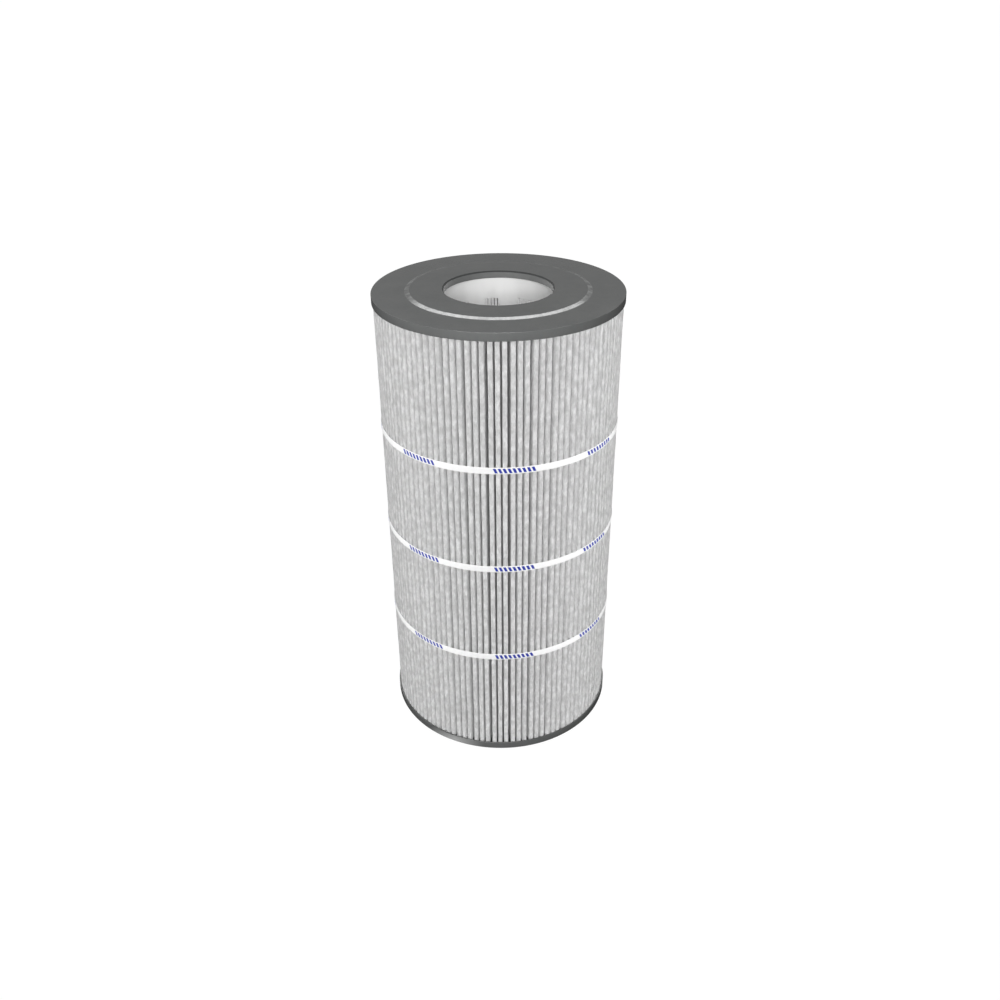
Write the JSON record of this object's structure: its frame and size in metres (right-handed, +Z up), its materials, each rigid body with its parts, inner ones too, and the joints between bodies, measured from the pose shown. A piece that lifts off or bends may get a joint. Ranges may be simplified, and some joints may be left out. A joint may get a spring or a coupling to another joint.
{
  "type": "pool filter cartridge",
  "caption": "Pleated fabric cartridge for a pool or spa filter: a folded sheet round a windowed white core, held by thin bands between two flat grey open-centred end caps.",
  "frame": {"origin": "centre of the bottom seating face, where the cartridge stands", "axes": "+Z up the cartridge's axis, -Y towards the viewer of the picture, seam of the pleated sheet towards +Y"},
  "size_m": [0.227, 0.2267, 0.4483],
  "materials": {
    "cap_resin": "cast grey resin with a soft sheen, darker fine specks and slightly rounded edges",
    "core_plastic": "moulded white plastic, satin",
    "media_fabric": "spun-bonded white polyester with a soft mottled emboss, matte",
    "seam_plastic": "white extruded strip, satin",
    "band_polymer": "bright white flat strap, satin, faint lengthwise ribbing"
  },
  "bodies": {
    "root": {"top_end_cap": "cap_resin", "bottom_end_cap": "cap_resin", "core_section_1": "core_plastic", "core_section_2": "core_plastic", "core_section_3": "core_plastic", "pleated_media": "media_fabric", "media_seam_clip": "seam_plastic", "upper_retaining_band": "band_polymer", "middle_retaining_band": "band_polymer", "lower_retaining_band": "band_polymer"}
  },
  "joints": []
}
